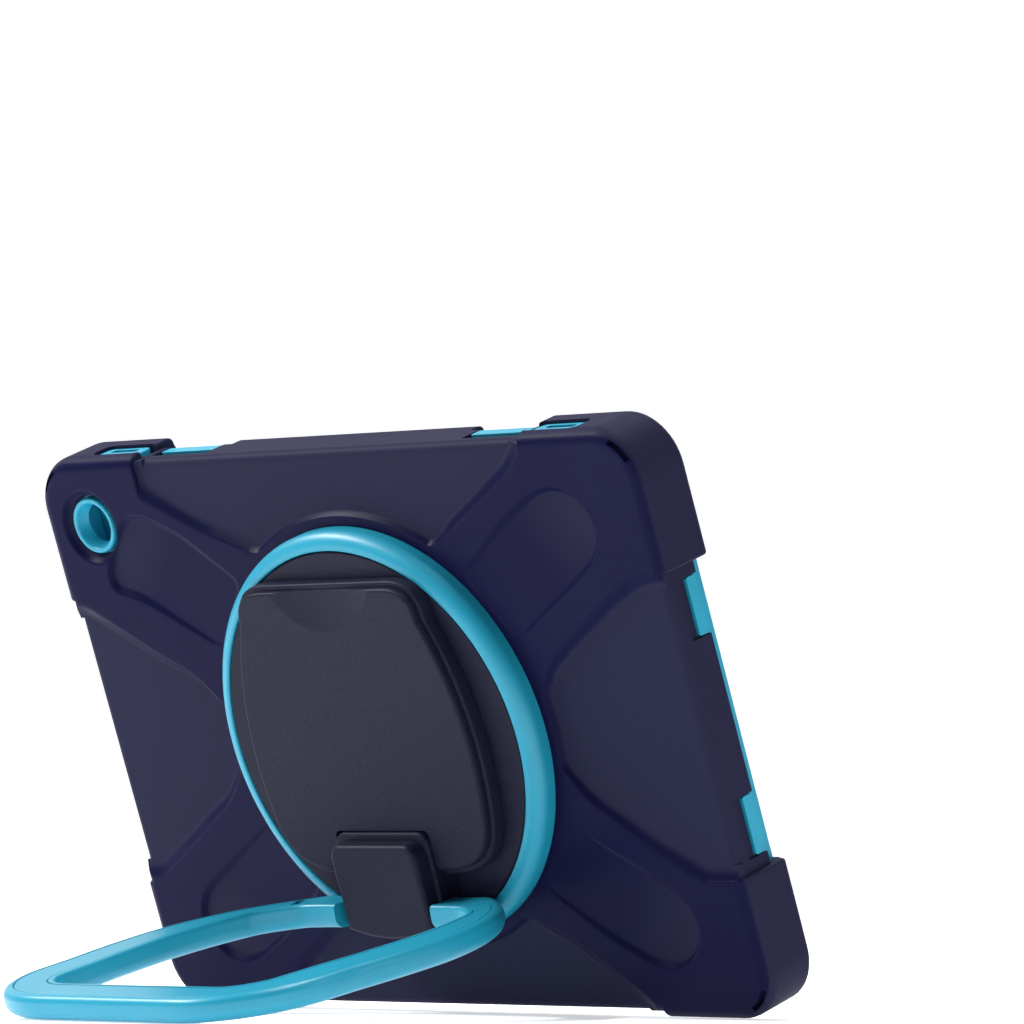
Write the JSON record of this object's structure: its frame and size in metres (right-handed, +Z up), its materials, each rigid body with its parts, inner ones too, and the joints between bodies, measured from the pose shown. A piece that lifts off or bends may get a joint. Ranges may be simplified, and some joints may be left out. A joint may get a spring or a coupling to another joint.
{
  "type": "tablet case",
  "caption": "Rugged two-tone tablet case with a swivel disc on its back and a folding ring handle that is also its stand, standing on the open handle.",
  "frame": {"origin": "centre of the bounding box's base, on the table the case stands on", "axes": "+X along the long side, right as seen from the back; +Z up; the back and its handle face -Y, and the screen faces +Y and up"},
  "size_m": [0.267, 0.1714, 0.1806],
  "materials": {
    "silicone": "satin moulded silicone",
    "shell_plastic": "semi-gloss moulded plastic",
    "handle_plastic": "semi-gloss moulded plastic",
    "graphite_plastic": "fine spark-textured plastic",
    "washer_rubber": "matte",
    "steel": "brushed"
  },
  "bodies": {
    "case": {"silicone_sleeve": "silicone", "back_shell": "shell_plastic", "front_frame": "shell_plastic", "swivel_collar": "shell_plastic", "friction_ring": "washer_rubber", "inner_cover": "shell_plastic"},
    "swivel": {"swivel_disc": "graphite_plastic", "retaining_plate": "steel", "retaining_screw_1": "steel", "retaining_screw_2": "steel", "retaining_screw_3": "steel", "retaining_screw_4": "steel", "grip_plate": "graphite_plastic", "grip_plate_cover": "graphite_plastic", "hinge_housing": "graphite_plastic", "hinge_cover": "graphite_plastic", "hinge_pin": "steel", "hinge_washer_left": "washer_rubber", "hinge_washer_right": "washer_rubber", "hinge_screw_1": "steel", "hinge_screw_2": "steel"},
    "handle": {"handle_ring": "handle_plastic", "handle_inlay": "handle_plastic"},
    "power": {"power_button": "silicone"},
    "volume": {"volume_button": "silicone"}
  },
  "joints": [
    {"name": "disc_swivel", "type": "hinge", "parent": "case", "child": "swivel", "pos_m": [0, 0.0343, 0.08632], "axis": [0, -0.9373, -0.3486], "continuous": true},
    {"name": "handle_fold", "type": "hinge", "parent": "swivel", "child": "handle", "pos_m": [0, 0.04073, 0.03174], "axis": [1, 0, 0], "range_deg": [-82.42, 15]},
    {"name": "power_press", "type": "slide", "parent": "case", "child": "power", "axis": [1, 0, 0], "range_m": [0, 0.0006], "stiffness_N_per_m": 2500},
    {"name": "volume_press", "type": "slide", "parent": "case", "child": "volume", "axis": [1, 0, 0], "range_m": [0, 0.0006], "stiffness_N_per_m": 3000}
  ]
}
